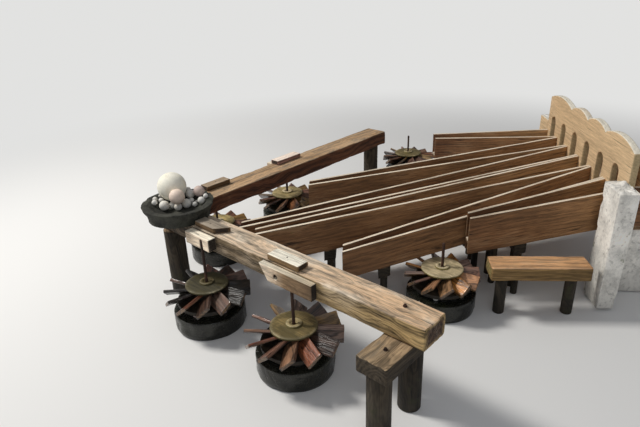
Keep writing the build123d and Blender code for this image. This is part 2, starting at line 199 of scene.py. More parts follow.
class Shape:
    """Points, faces and surface values of one piece while it is being built."""

    def __init__(self):
        self.points = []
        self.faces = []
        self.values = {"grain": [], "wear": [], "tone": [], "end": []}
        self.count = 0

    def add(self, points, faces, grain, wear, tone, end=0.0):
        """Takes in a patch: its own coordinates, edge wear, tone and share of end grain."""
        number = len(points)
        self.points.append(points)
        self.faces.extend(tuple(int(i) + self.count for i in face) for face in faces)
        self.values["grain"].append(grain)
        for label, value in (("wear", wear), ("tone", tone), ("end", end)):
            self.values[label].append(np.broadcast_to(value, (number,)))
        self.count += number

    def tube(self, rings, grain, wear, tones, steps=3):
        """Skin over a row of closed rings, with the ends closed by shrinking rings."""
        rings = np.asarray(rings, float)
        count = rings.shape[:2]
        rows = [rings, np.asarray(grain, float), np.broadcast_to(wear, count)]
        rows.append(np.broadcast_to(np.reshape(tones, (-1, 1)), count))
        rows.append(np.zeros(count))
        for at_end in (False, True):
            rim = [row[-1] if at_end else row[0] for row in rows]
            for step in range(1, steps + 1):
                share = 1 - step / (steps + 0.02)
                inner = [rim[k].mean(0) + (rim[k] - rim[k].mean(0)) * share for k in (0, 1)]
                inner += [rim[2] * share, rim[3], np.ones(count[1])]
                place = len(rows[0]) if at_end else 0
                rows = [np.insert(row, place, new, axis=0) for row, new in zip(rows, inner)]
        index = np.arange(rows[0].shape[0] * count[1]).reshape(rows[0].shape[:2])
        after = np.roll(index, -1, axis=1)
        quads = np.stack((index[:-1], after[:-1], after[1:], index[1:]), -1).reshape(-1, 4)
        stack, grains = (row.reshape(-1, 3) for row in rows[:2])
        self.add(stack, [*quads, index[0][::-1], index[-1]], grains, *(row.ravel() for row in rows[2:]))

    def build(self, name, nodes, material, body="mill_frame", smooth=40):
        """Makes the object, sets it on its body and lets it stand for its CAD nodes."""
        points = np.concatenate(self.points)
        mesh = bpy.data.meshes.new(name)
        mesh.from_pydata(points.tolist(), [], self.faces)
        values = {label: np.concatenate(rows) for label, rows in self.values.items()}
        values["damp"] = np.clip((SPLASH_TOP - points[:, 2]) / SPLASH_TOP, 0, 1)
        for label, row in values.items():
            kind, key = ("FLOAT_VECTOR", "vector") if row.ndim > 1 else ("FLOAT", "value")
            layer = mesh.attributes.new(label, kind, "POINT")
            layer.data.foreach_set(key, np.ascontiguousarray(row, float).ravel())
        mesh.materials.append(material)
        mesh.validate()
        mesh.update()
        mesh.shade_smooth()
        mesh.set_sharp_from_angle(angle=math.radians(smooth))
        piece = placed(name.replace(" ", "_"), mesh)
        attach(piece, body)
        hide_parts(*nodes)


def pith():
    """Where a piece was cut from its log: its own place in the noise, beside the pith."""
    return np.array((rng.uniform(-50, 50), rng.uniform(-0.12, 0.12), rng.uniform(0.04, 0.2)))


def rounded_outline(width, height, radius, spacing):
    """Outline of a section with eased corners: points, outward normals, corner share."""
    radius = min(radius, width * 0.45, height * 0.45)
    places, normals, corner = [], [], []
    sides = (
        ((radius, 0), (width - radius, 0), (0, -1)),
        ((width, radius), (width, height - radius), (1, 0)),
        ((width - radius, height), (radius, height), (0, 1)),
        ((0, height - radius), (0, radius), (-1, 0)),
    )
    for start, end, normal in sides:
        start, end, normal = map(np.array, (start, end, normal))
        steps = max(2, int(np.linalg.norm(end - start) / spacing) + 1)
        for step in range(steps + 1):
            places.append(start + (end - start) * step / steps)
            normals.append(normal)
            corner.append(1.0 if step in (0, steps) else 0.0)
        diagonal = (normal + (-normal[1], normal[0])) / math.sqrt(2)
        places.append(end - normal * radius + diagonal * radius)
        normals.append(diagonal)
        corner.append(1.0)
    return np.array(places), np.array(normals, float), np.array(corner)


def board(shape, faces, amp=0.0015, size=0.12, ease=0.004, spacing=0.03, step=0.05, chip=0.0, seed=0,
          tone=None):
    """A sawn or hewn timber between end faces, worn inwards from its true outline."""
    tone = rng.uniform(0.1, 0.9) if tone is None else tone
    first = faces[0]
    width = np.linalg.norm(first[1] - first[0])
    height = np.linalg.norm(first[3] - first[0])
    places, normals, corner = rounded_outline(width, height, ease, spacing)
    share_u, share_v = places[:, 0] / width, places[:, 1] / height
    offset = pith()
    rings, grains, wears = [], [], []
    travelled = 0.0
    for index, (start, end) in enumerate(zip(faces, faces[1:])):
        length = np.linalg.norm(end.mean(0) - start.mean(0))
        parts = np.linspace(0, 1, max(1, int(length / step)) + 1)
        for part in parts[1:] if index else parts:
            quad = start + (end - start) * part
            across, upward = quad[1] - quad[0], quad[3] - quad[0]
            ring = quad[0] + np.outer(share_u, across) + np.outer(share_v, upward)
            outward = np.outer(normals[:, 0], unit(across)) + np.outer(normals[:, 1], unit(upward))
            along = np.full(len(places), travelled + length * part)
            local = np.column_stack((along, places)) + offset
            bite = np.clip(rough(local * CHIP_STRETCH, CHIP_SIZE, seed + CHIP_SEED), 0, 1)
            depth = amp * depth_share(local * HEW_STRETCH, size, seed) + chip * corner * bite**1.5
            rings.append(ring - outward * depth[:, None])
            grains.append(np.column_stack((along, places - (width / 2, height / 2))) + offset)
            # Wear is one at eased corners and 0.6 on faces looking up; timber() paints it pale, partly as
            # bleached wood and partly as painted highlight.
            wears.append(np.maximum(corner, np.clip(normals[:, 1], 0, 1) * 0.6))
        travelled += length
    rings, grains, wears = np.array(rings), np.array(grains), np.array(wears)
    for at, near in ((0, 1), (-1, -2)):
        place = 1 if at == 0 else len(rings) - 1
        centre = rings[at].mean(0)
        inward = unit(rings[near].mean(0) - centre)
        lead = rings[at] + inward * ease * 0.7
        shrunk = centre + (rings[at] - centre) * (1 - 1.4 * ease / max(width, height))
        jag = 0.5 + 0.5 * ripple(rings[at], 0.03, seed + 3)
        rings = np.insert(rings, place, lead, axis=0)
        rings[at] = shrunk + inward * (amp * jag)[:, None]
        grains = np.insert(grains, place, grains[at], axis=0)
        wears = np.insert(wears, place, wears[at], axis=0)
    tones = np.linspace(*tone, len(rings)) if isinstance(tone, tuple) else np.full(len(rings), tone)
    shape.tube(rings, grains, wears, tones)


def pole(shape, low, high, radius, amp, around, step, seed, ease=0.006, rib=0.0):
    """A round log or rod from a low to a high point, with a worn skin or rolled ribs."""
    low, high = np.asarray(low, float), np.asarray(high, float)
    length = np.linalg.norm(high - low)
    axis = (high - low) / length
    side = unit(np.cross(axis, (0.3, 0.9, 0.1)))
    cosine, sine = circle(around)
    spokes = np.outer(cosine, side) + np.outer(sine, np.cross(axis, side))
    offset = pith()
    inner = np.linspace(2 * ease, length - 2 * ease, max(2, int(length / step)))
    stations = (0, ease * 0.3, ease, *inner, length - ease, length - ease * 0.3, length)
    rings, grains = [], []
    for number, station in enumerate(stations):
        from_end = min(station, length - station)
        eased = ease * (1 - math.sqrt(max(0.0, 1 - (1 - min(1, from_end / ease)) ** 2)))
        reach = radius - eased - rib * (number % RIB_EVERY == 0)
        base = np.column_stack((cosine * radius, sine * radius, np.full(around, station * 0.3)))
        depth = amp * depth_share(base + offset, POLE_HEW_SIZE, seed)
        rings.append(low + axis * station + spokes * (reach - depth)[:, None])
        grain = np.column_stack((np.full(around, station), cosine * reach, sine * reach))
        grains.append(grain + (offset[0], 0.01, 0.01))
    shape.tube(rings, grains, 0.0, np.full(len(rings), rng.uniform(0.1, 0.9)))


def turned(shape, centre, profile, around, amp=0.0, size=0.06, seed=0, tone=None, chip=0.0, edge=None):
    """A round piece on an upright axis, from a profile of (radius, height) pairs that
    closes on itself, worn by amp, which may differ from pair to pair."""
    tone = rng.uniform(0.1, 0.9) if tone is None else tone
    skin = np.broadcast_to(amp, len(profile))[::-1, None]
    profile = np.array(profile[::-1])
    cosine, sine = circle(around)
    radius, height = profile[:, 0][:, None], profile[:, 1][:, None]
    points = np.stack((radius * cosine, radius * sine, height + 0 * cosine), -1)
    offset = pith()
    along = np.roll(profile, -1, axis=0) - np.roll(profile, 1, axis=0)
    normal = np.column_stack((along[:, 1], -along[:, 0]))
    normal /= np.linalg.norm(normal, axis=1)[:, None] + 1e-9
    rim = np.zeros(len(profile))
    if edge is not None:
        rim = np.clip(1 - abs(profile[:, 0] - edge) / RIM_BAND, 0, 1)
    bite = np.clip(rough(points + offset, RIM_CHIP_SIZE, seed + CHIP_SEED), 0, 1)
    depth = skin * depth_share(points + offset, size, seed) + chip * rim[:, None] * bite
    flat, steep = normal[:, 0][:, None], normal[:, 1][:, None]
    outward = np.stack((flat * cosine, flat * sine, steep + 0 * cosine), -1)
    points = points - outward * depth[..., None]
    index = np.arange(len(profile) * around).reshape(len(profile), around)
    after = np.roll(index, -1, axis=1)
    quads = np.stack((index, after, np.roll(after, -1, axis=0), np.roll(index, -1, axis=0)), -1)
    grain = (points + offset).reshape(-1, 3)
    points = (points + (*centre[:2], 0)).reshape(-1, 3)
    shape.add(points, quads.reshape(-1, 4), grain, np.repeat(rim, around), tone)


def worn_copy(node, name, material, voxel, amp, tones, turn=np.eye(3)):
    """Solids of a node, each rounded at its edges and worn inwards, in its own grain."""
    mesh = frame["nodes"][node].data.copy()
    points = np.array([v.co for v in mesh.vertices])
    mesh.vertices.foreach_set("co", (points @ turn.T).ravel())
    carrier = placed("carrier", mesh)
    modifier = carrier.modifiers.new("remesh", "REMESH")
    modifier.mode = "VOXEL"
    modifier.voxel_size = voxel
    fine = bpy.data.meshes.new_from_object(carrier.evaluated_get(bpy.context.evaluated_depsgraph_get()))
    bpy.data.objects.remove(carrier)
    places = np.array([v.co for v in fine.vertices])
    edges = np.array([edge.vertices for edge in fine.edges])
    neighbours = np.bincount(edges.ravel(), minlength=len(places))[:, None]
    for _ in range(EASING_PASSES):
        total = np.zeros_like(places)
        np.add.at(total, edges[:, 0], places[edges[:, 1]])
        np.add.at(total, edges[:, 1], places[edges[:, 0]])
        places = places * 0.5 + total / neighbours * 0.5
    normals = np.array([v.normal for v in fine.vertices])
    blunt = np.clip(1.6 - abs(normals).max(1) * 1.6, 0, 1)
    hewn = depth_share(places * COPY_STRETCH, COPY_HEW_SIZE, COPY_SEED)
    depth = amp * hewn + amp * 1.5 * blunt
    places = places - normals * depth[:, None]
    share = (places[:, 0] - places[:, 0].min()) / np.ptp(places[:, 0])
    tone = np.interp(share, np.linspace(0, 1, len(tones)), tones)
    end = np.clip(abs(normals[:, 0]) * 3 - 2, 0, 1)
    grain = places - extent(points)[2] @ turn.T + COPY_PITH
    shape = Shape()
    faces = [tuple(polygon.vertices) for polygon in fine.polygons]
    shape.add(places @ turn, faces, grain, np.clip(blunt * 3, 0, 1), tone, end)
    shape.build(name, [node], material, smooth=60)


# Materials

RING_SIZE = 0.007


class Wire:
    """A shader socket; arithmetic on it adds the Math nodes that work it out."""

    def __init__(self, wiring, socket):
        self.wiring = wiring
        self.socket = socket

    def maths(self, operation, *values):
        inputs = dict(enumerate(values))
        return self.wiring.node("Math", {"operation": operation}, inputs)

    def __add__(self, other):
        return self.maths("ADD", self, other)

    def __radd__(self, other):
        return self.maths("ADD", other, self)

    def __sub__(self, other):
        return self.maths("SUBTRACT", self, other)

    def __rsub__(self, other):
        return self.maths("SUBTRACT", other, self)

    def __mul__(self, other):
        return self.maths("MULTIPLY", self, other)

    def __pow__(self, other):
        return self.maths("POWER", self, other)

    def __abs__(self):
        return self.maths("ABSOLUTE", self)

    def sine(self):
        return self.maths("SINE", self)

    def clamped(self):
        return self.maths("MAXIMUM", 0.0, self.maths("MINIMUM", self, 1.0))


class Wiring:
    """The nodes behind a material or the world, under construction."""

    def __init__(self, owner, output):
        owner.use_nodes = True
        self.tree = owner.node_tree
        self.tree.nodes.clear()
        self.output = self.tree.nodes.new("ShaderNodeOutput" + output)

    def put(self, node, key, value):
        """Links or sets one socket; colours come as three numbers."""
        socket = node.inputs[key]
        if isinstance(value, Wire):
            self.tree.links.new(value.socket, socket)
        elif socket.type == "RGBA":
            socket.default_value = (*value, 1.0)
        else:
            socket.default_value = value

    def node(self, kind, settings=None, inputs=None, output=0):
        """Adds a node: settings first, then values or links for its sockets."""
        node = self.tree.nodes.new("ShaderNode" + kind)
        for key, value in (settings or {}).items():
            if key == "stops":
                ramp = node.color_ramp
                while len(ramp.elements) < len(value):
                    ramp.elements.new(0.5)
                for element, (place, colour) in zip(ramp.elements, value):
                    element.position = place
                    element.color = (*colour, 1.0)
            else:
                setattr(node, key, value)
        for key, value in (inputs or {}).items():
            self.put(node, key, value)
        return Wire(self, node.outputs[output])

    def show(self, shader):
        """Takes a shader as the one that is seen."""
        self.put(self.output, "Surface", shader)


class Finish(Wiring):
    """A material under construction."""

    def __init__(self, name):
        self.material = bpy.data.materials.new(name)
        super().__init__(self.material, "Material")
        self.shader = self.tree.nodes.new("ShaderNodeBsdfPrincipled")
        self.show(Wire(self, self.shader.outputs[0]))

    def value(self, name):
        """A per-point value that the mesh carries."""
        return self.node("Attribute", {"attribute_name": name}, output="Fac")

    def place(self, stretch=(1, 1, 1)):
        """The piece's own grain coordinates, stretched."""
        grain = self.node("Attribute", {"attribute_name": "grain"}, output="Vector")
        return self.node("VectorMath", {"operation": "MULTIPLY"}, {0: grain, 1: stretch})

    def part(self, vector, name):
        """One coordinate of a vector."""
        return self.node("SeparateXYZ", None, {"Vector": vector}, output=name)

    def cloud(self, scale, detail, roughness, stretch=(1, 1, 1), distortion=0.0):
        """Noise from 0 to 1 over the grain coordinates."""
        inputs = {"Vector": self.place(stretch), "Scale": scale, "Detail": detail}
        inputs.update({"Roughness": roughness, "Distortion": distortion})
        return self.node("TexNoise", None, inputs, output="Fac")

    def band(self, value, low, high, least=0.0, most=1.0):
        """Smooth step of a value from least at low to most at high."""
        inputs = {"Value": value, "From Min": low, "From Max": high, "To Min": least, "To Max": most}
        return self.node("MapRange", {"interpolation_type": "SMOOTHSTEP"}, inputs)

    def line(self, value, width):
        """One where a noise value is half, falling to nothing within a width."""
        return 1 - self.band(abs(value - 0.5), 0.0, width)

    def blend(self, share, first, second):
        """Mixes two colours."""
        return self.node("Mix", {"data_type": "RGBA"}, {0: share, 6: first, 7: second}, output=2)

    def shaded(self, colour, level):
        """A colour made lighter or darker by a value."""
        return self.node("VectorMath", {"operation": "SCALE"}, {0: colour, "Scale": level})

    def ramp(self, share, stops):
        """Colours at given places of a share."""
        return self.node("ValToRGB", {"stops": stops}, {"Fac": share})

    def spread(self, share, colours):
        """Colours at even steps of a share, or the one colour that there is."""
        if len(colours) == 1:
            return colours[0]
        last = len(colours) - 1
        return self.ramp(share, [(k / last, colour) for k, colour in enumerate(colours)])

    def facing_up(self):
        """How far the surface looks up, from -1 to 1."""
        return self.part(self.node("NewGeometry", output="Normal"), "Z")

    def set(self, **inputs):
        """Sets Principled sockets, with spaces written as underscores."""
        for key, value in inputs.items():
            self.put(self.shader, key.replace("_", " "), value)

    def relief(self, height, strength, distance):
        """Bump from a height."""
        inputs = {"Height": height, "Strength": strength, "Distance": distance}
        self.set(Normal=self.node("Bump", None, inputs))


def timber(name, top, side, grey, weather, end=None, wet=0.0, moss=0.0, mossy=(0.14, 0.15, 0.03), bleach_and_highlight=0.0,
           pale=(0.82, 0.74, 0.6), cracks=1.0, contrast=1.0, figure=1.0):
    """Wood cut from a log: growth rings, fibres, streaks and cracks along the grain, over
    colours for its top and sides that go from tone 0 to tone 1. The lighter tops and darker
    sides are partly weathering and partly painted light and shade, the end colour is partly
    end grain and partly painted shade, and the pale edges and faces looking up are partly
    bleached wood and partly painted highlight."""
    f = Finish(name)
    tone, damp, up = f.value("tone"), f.value("damp"), f.facing_up()
    fibre = f.cloud(9.0, 6.0, 0.65, (1.2, 16, 16))
    streak = f.cloud(5.0, 4.0, 0.6, (0.35, 7, 7))
    patch = f.cloud(3.2, 5.0, 0.6, (0.5, 1.4, 1.4))
    warp = f.cloud(2.4, 3.0, 0.5, (0.6, 2, 2))
    across, above = f.part(f.place(), "Y"), f.part(f.place(), "Z")
    from_pith = (across * across + above * above) ** 0.5 + (warp - 0.5) * 0.16
    rings = (from_pith * (2 * math.pi / RING_SIZE)).sine() * 0.5 + 0.5
    swirl = (from_pith * (2 * math.pi / (RING_SIZE * 4.3))).sine() * 0.5 + 0.5
    marks = (rings - 0.5) * 0.1 * figure + (swirl - 0.5) * 0.14 * figure
    body = fibre * 0.34 + marks + streak * 0.3 + patch * 0.36
    # Painted light and shade: faces looking up take the lighter top colours and the others the darker side
    # colours, partly weathering and partly sunlit tops and shaded sides.
    colour = f.blend(f.band(up, 0.35, 0.75), f.spread(tone, side), f.spread(tone, top))
    # The end colour is partly darker end grain and partly painted shade on end faces.
    if end:
        colour = f.blend(f.value("end"), colour, end)
    level = f.band(body, 0.3, 0.68, 1 - 0.72 * contrast, 1 + 0.55 * contrast)
    greyed = f.band(patch + (fibre - 0.5) * 0.3, 0.64 - 0.3 * weather, 0.76 - 0.22 * weather)
    greyed = greyed * f.band(up, -0.2, 0.8, 0.15, 0.75)
    colour = f.shaded(f.blend(greyed, colour, grey), level)
    splits = f.cloud(3.0, 1.5, 0.4, (0.16, 9, 9), 0.2)
    hairs = f.cloud(7.0, 2.0, 0.5, (0.2, 14, 14), 0.1)
    split = f.line(splits, 0.011) * f.band(patch, 0.42, 0.56) * cracks
    split = (split + f.line(hairs, 0.012) * 0.55 * cracks).clamped()
    colour = f.shaded(colour, 1 - split * 0.85)
    # Pale edges and faces looking up: partly bleached wood, partly painted highlight.
    if bleach_and_highlight:
        worn = f.value("wear") * f.band(up, 0.3, 0.9)
        colour = f.blend((worn * f.band(streak + patch, 0.6, 1.1) * bleach_and_highlight).clamped(), colour, pale)
    if moss:
        growth = f.cloud(7.0, 7.0, 0.68) + patch * 0.5 + damp * 0.12
        share = f.band(growth, 1.0 - 0.4 * moss, 1.12 - 0.34 * moss)
        colour = f.blend(share * (0.9 - tone * 0.5), colour, mossy)
    dull = 0.84 - 0.55 * wet + (fibre - 0.5) * 0.35 - damp * 0.25
    f.set(Base_Color=f.shaded(colour, 1 - damp * 0.45), Roughness=dull.clamped())
    f.set(Specular_IOR_Level=0.35 + 0.2 * wet)
    if wet > 0.5:
        f.set(Coat_Weight=f.band(patch, 0.35, 0.6, 0.0, 0.6), Coat_Roughness=0.12)
    f.relief(fibre * 0.5 + rings * 0.25 + swirl * 0.2 + streak * 0.5 - split * 2.0, 0.6, 0.004)
    return f.material


def stone(name, tones, stain, stain_share, wet=0.0, grain=1.0, moss=0.0, contrast=1.0, relief=0.006):
    """Hewn stone: mottled body, pits and stains, over colours from tone 0 to tone 1."""
    f = Finish(name)
    damp = f.value("damp")
    coarse = f.cloud(5.0 * grain, 8.0, 0.62)
    fine = f.cloud(42.0 * grain, 5.0, 0.7)
    patch = f.cloud(2.3 * grain, 6.0, 0.6)
    level = f.band(coarse * 0.65 + fine * 0.35, 0.34, 0.64, 1 - 0.6 * contrast, 1 + 0.45 * contrast)
    share = f.band(patch, 0.66 - 0.3 * stain_share, 0.8 - 0.25 * stain_share)
    colour = f.shaded(f.blend(share * 0.75, f.spread(f.value("tone"), tones), stain), level)
    pits = 1 - f.band(f.cloud(26.0 * grain, 2.0, 0.5), 0.33, 0.42)
    colour = f.shaded(colour, 1 - pits * 0.25)
    if moss:
        growth = f.cloud(7.5, 6.0, 0.7)
        share = f.band(growth, 0.64 - 0.2 * moss, 0.74 - 0.16 * moss)
        colour = f.blend(share * 0.8, colour, (0.13, 0.14, 0.035))
    dull = 0.9 - 0.6 * wet + (fine - 0.5) * 0.3 - damp * 0.2
    f.set(Base_Color=f.shaded(colour, 1 - damp * 0.4), Roughness=dull.clamped(), Specular_IOR_Level=0.4)
    f.relief(coarse * 1.2 + fine * 0.35 - pits * 0.5, 0.6, relief)
    return f.material


def ground_marble(name, tones):
    """Ground but unpolished marble: dusty, faintly clouded and veined."""
    f = Finish(name)
    cloud = f.cloud(11.0, 5.0, 0.6)
    dust = f.cloud(60.0, 4.0, 0.7)
    vein = f.line(f.cloud(8.0, 5.0, 0.6, distortion=1.2), 0.035) * f.band(cloud, 0.4, 0.6)
    colour = f.blend(f.band(cloud, 0.4, 0.7) * 0.3, f.spread(f.value("tone"), tones), (0.8, 0.7, 0.46))
    colour = f.shaded(colour, f.band(dust * 0.4 + cloud * 0.6, 0.3, 0.7, 0.84, 1.06) - vein * 0.16)
    f.set(Base_Color=colour, Roughness=(0.5 + cloud * 0.25).clamped(), Specular_IOR_Level=0.4)
    f.relief(dust * 0.3 + cloud * 0.3, 0.3, 0.002)
    return f.material


def rusty_iron(name):
    """Iron with a dark skin and orange rust."""
    f = Finish(name)
    flakes = f.cloud(30.0, 6.0, 0.7, (0.5, 1, 1))
    patch = f.cloud(8.0, 4.0, 0.6, (0.4, 1, 1))
    stops = ((0.35, (0.02, 0.015, 0.012)), (0.54, (0.06, 0.03, 0.02)), (0.72, (0.2, 0.085, 0.04)))
    f.set(Base_Color=f.ramp(flakes * 0.6 + patch * 0.4, stops), Roughness=(0.55 + flakes * 0.4).clamped())
    f.set(Metallic=0.3)
    f.relief(flakes, 0.5, 0.002)
    return f.material


# Painted shade: the dark end colour stands for the beam's shaded ends, on darker end grain.
beam_wood = timber(
    "weathered beam oak",
    top=((0.46, 0.36, 0.26), (0.58, 0.4, 0.25), (0.64, 0.39, 0.2)),
    side=((0.08, 0.062, 0.048), (0.17, 0.12, 0.065), (0.42, 0.29, 0.13)),
    end=(0.075, 0.042, 0.025), grey=(0.52, 0.45, 0.36), weather=0.45,
    bleach_and_highlight=0.4, moss=0.05, figure=0.8, contrast=1.3, cracks=1.15,
)
rear_wood = timber(
    "orange brown beam oak",
    top=((0.3, 0.165, 0.065), (0.4, 0.23, 0.1)),
    side=((0.1, 0.036, 0.017), (0.15, 0.06, 0.027)),
    end=(0.14, 0.08, 0.05), grey=(0.34, 0.23, 0.13), weather=0.3, bleach_and_highlight=0.3,
)
post_wood = timber(
    "dark post wood",
    top=((0.22, 0.15, 0.09), (0.34, 0.24, 0.14)),
    side=((0.03, 0.023, 0.015), (0.065, 0.048, 0.03)),
    grey=(0.1, 0.09, 0.07), weather=0.3, moss=0.3, mossy=(0.05, 0.05, 0.02),
)
# Painted light and shade: the pale tops are partly bleached and partly sunlit, and the near-black end colour
# stands for shaded end faces.
cleat_wood = timber(
    "bleached cleat wood with painted light and shade",
    top=((0.24, 0.19, 0.14), (0.24, 0.15, 0.08), (0.84, 0.7, 0.6), (0.95, 0.9, 0.76)),
    side=((0.16, 0.1, 0.05), (0.13, 0.075, 0.035), (0.3, 0.17, 0.14), (0.3, 0.19, 0.09)),
    end=(0.04, 0.028, 0.02), grey=(0.56, 0.5, 0.42), weather=0.15, bleach_and_highlight=0.3, contrast=0.75, figure=0.5,
)
# Painted light and shade: the cream side colour stands for lit faces and the near-black side and end colours
# for shaded ones, over bleached wood.
block_wood_with_painted_light_and_shade = timber(
    "bleached block wood with painted light and shade",
    top=((0.92, 0.84, 0.68), (0.62, 0.5, 0.34)),
    side=((0.95, 0.8, 0.62), (0.34, 0.22, 0.12), (0.12, 0.075, 0.04)),
    end=(0.03, 0.022, 0.016), grey=(0.62, 0.55, 0.44), weather=0.3, bleach_and_highlight=0.4, contrast=0.8, figure=0.5,
)
# The pale tops and worn top edges are partly bleached wood and partly painted highlight.
board_wood = timber(
    "wet chute boards",
    top=((0.66, 0.5, 0.34), (0.72, 0.56, 0.4)),
    side=((0.12, 0.045, 0.018), (0.32, 0.165, 0.07), (0.52, 0.31, 0.14)),
    end=(0.2, 0.12, 0.06), grey=(0.4, 0.28, 0.16), weather=0.35,
    wet=0.15, bleach_and_highlight=0.9, pale=(0.95, 0.86, 0.7), contrast=0.95, figure=0.4, moss=0.12,
)
# The white top and pale worn edges are partly bleached wood and partly painted highlight.
weir_wood = timber(
    "pale weir plank",
    top=((0.9, 0.84, 0.7),),
    side=((0.66, 0.45, 0.25), (0.78, 0.57, 0.34)),
    end=(0.6, 0.46, 0.26), grey=(0.6, 0.48, 0.34), weather=0.4,
    bleach_and_highlight=0.8, pale=(0.92, 0.86, 0.74), cracks=0.5, contrast=0.5, figure=0.3,
)
paddle_wood = timber(
    "wet paddle boards",
    top=((0.022, 0.015, 0.01), (0.24, 0.12, 0.08), (0.3, 0.18, 0.065),
         (0.22, 0.07, 0.032), (0.3, 0.2, 0.16), (0.6, 0.25, 0.06)),
    side=((0.015, 0.01, 0.007), (0.1, 0.05, 0.03), (0.18, 0.1, 0.035)),
    end=(0.18, 0.1, 0.045), grey=(0.12, 0.09, 0.07), weather=0.25, wet=0.75, contrast=1.25,
)
disc_wood = timber(
    "mossy wheel wood",
    top=((0.08, 0.07, 0.035), (0.2, 0.14, 0.05), (0.46, 0.35, 0.14), (0.74, 0.6, 0.36)),
    side=((0.06, 0.05, 0.02), (0.3, 0.24, 0.08)),
    grey=(0.16, 0.13, 0.06), weather=0.2, wet=0.3, moss=0.85, mossy=(0.07, 0.058, 0.018),
    bleach_and_highlight=0.6, pale=(0.82, 0.73, 0.5), cracks=0.7, figure=0.15,
)
# Painted shade: the near-black colours stand for the deep shade under the paddles, on wet wood.
runner_wood_in_painted_shade = timber(
    "wet runner wood in painted shade",
    top=((0.03, 0.022, 0.014), (0.05, 0.035, 0.02)),
    side=((0.02, 0.014, 0.009), (0.035, 0.025, 0.015)),
    grey=(0.03, 0.03, 0.022), weather=0.3, wet=0.2,
)
step_wood = timber(
    "orange step timber",
    top=((0.52, 0.24, 0.08), (0.6, 0.3, 0.11)),
    side=((0.19, 0.11, 0.045), (0.26, 0.16, 0.06)),
    end=(0.26, 0.2, 0.075), grey=(0.5, 0.34, 0.2), weather=0.2, bleach_and_highlight=0.25, figure=0.5,
)
mill_stone = stone("wet base stone", ((0.012, 0.012, 0.009), (0.03, 0.03, 0.022)),
                   stain=(0.03, 0.035, 0.015), stain_share=0.5, wet=0.85)
limestone = stone("white limestone", ((0.88, 0.85, 0.78), (0.94, 0.91, 0.85)),
                  stain=(0.55, 0.51, 0.4), stain_share=0.2, moss=0.08, contrast=0.5)
bowl_stone = stone("hewn bowl stone", ((0.04, 0.04, 0.032),),
                   stain=(0.018, 0.02, 0.012), stain_share=0.5, grain=1.6, moss=0.1, contrast=1.35,
                   relief=0.014)
marble = ground_marble("ground marble", ((0.55, 0.4, 0.37), (0.66, 0.64, 0.61), (0.78, 0.77, 0.73),
                                         (0.86, 0.7, 0.59), (0.93, 0.9, 0.78)))
iron = rusty_iron("rusty iron")


# Beams, posts and their fittings

LAP_RISE = 0.0006  # length in which a beam steps up from its lap to its full height
POST_FLATS = 16
LOG_FLATS = 14
LEG_FLATS = 8
CLEAT_TONES = (0.33, 0.66, 0.0, 1.0)
# Spindle block tones along x: tone 0 paints the sides cream as lit faces, tone 1 near-black as shaded faces.
BLOCK_TONES = (0.3, 0.3, 0.0, 0.0, 1.0)
NAIL_RADIUS = 0.008
NAIL_HEIGHT = 0.003
NAIL_SINK = 0.0015
WASHER_SHARE = 0.86  # of the bolt head's solid, and the nut's of the washer
NUT_SHARE = 0.74


def lapped_beam(node, along, upper_half, material, name, tone):
    """A beam whose corner end is cut to half its height for the lap."""
    points = solids(node)[0]
    low, high, centre = extent(points)
    lap_end = np.unique(points[:, along])[1]
    cut = (low[2], centre[2]) if upper_half else (centre[2], high[2])
    across = 1 - along
    near, far = (low, high) if along else (high, low)

    def face(place, bottom, top):
        corners = np.full((4, 3), place)
        corners[:, across] = near[across], far[across], far[across], near[across]
        corners[:, 2] = bottom, bottom, top, top
        return corners

    ends = [face(low[along], *cut), face(lap_end - LAP_RISE, *cut)]
    ends += [face(place, low[2], high[2]) for place in (lap_end, high[along])]
    shape = Shape()
    board(shape, ends, amp=0.007, size=0.14, ease=0.012, spacing=0.016, step=0.02, chip=0.016,
          seed=5 + along, tone=tone)
    shape.build(name, [node], material)


def plain_timbers(node, slot, material, name, axis=None, up=UP, tones=None, **style):
    """Every solid of a node as a board along its longer level side or a given axis."""
    shape = Shape()
    for number, points in enumerate(solids(node)):
        span = np.ptp(points, axis=0)
        longer = (1, 0, 0) if span[0] > span[1] else (0, 1, 0)
        tone = tones[number % len(tones)] if tones else None
        ends = end_faces(points, longer if axis is None else axis, up)
        board(shape, ends, seed=number, tone=tone, **style)
    shape.build(name, [node], material)


def round_posts(node, slot, material, name, flats=0, **style):
    """Every solid of a node as an upright round post inside its hewn flats."""
    shape = Shape()
    for number, points in enumerate(solids(node)):
        low, high, centre = extent(points)
        radius = (high[0] - low[0]) / 2 * inside(flats)
        pole(shape, (*centre[:2], low[2]), (*centre[:2], high[2]), radius, seed=number, **style)
    shape.build(name, [node], material)


def nails_and_nuts():
    """Nail heads in the cleats, and bolt ends with a washer and a six-sided nut."""
    shape = Shape()
    for points in solids("beam_cleats"):
        top = points[:, 2].max() - NAIL_SINK
        foot = top - NAIL_HEIGHT
        nail = [(0.001, foot), (0.001, top), (NAIL_RADIUS - 0.002, top), (NAIL_RADIUS, foot)]
        turned(shape, points.mean(0), nail, around=12)
    for points in solids("bolt_heads"):
        low, high, centre = extent(points)
        reach = (high[0] - low[0]) / 2 * WASHER_SHARE
        rise = low[2] + (high[2] - low[2]) * 0.25
        nut_reach = reach * NUT_SHARE
        washer = [(AXIS_GAP, low[2]), (AXIS_GAP, rise), (reach - 0.001, rise), (reach, low[2])]
        nut = [(AXIS_GAP, rise), (AXIS_GAP, high[2]), (reach * 0.7, high[2])]
        nut += [(nut_reach, high[2] - 0.002), (nut_reach, rise)]
        turned(shape, centre, washer, around=24)
        turned(shape, centre, nut, around=6)
    shape.build("nails and nuts", ["bolt_heads"], iron)


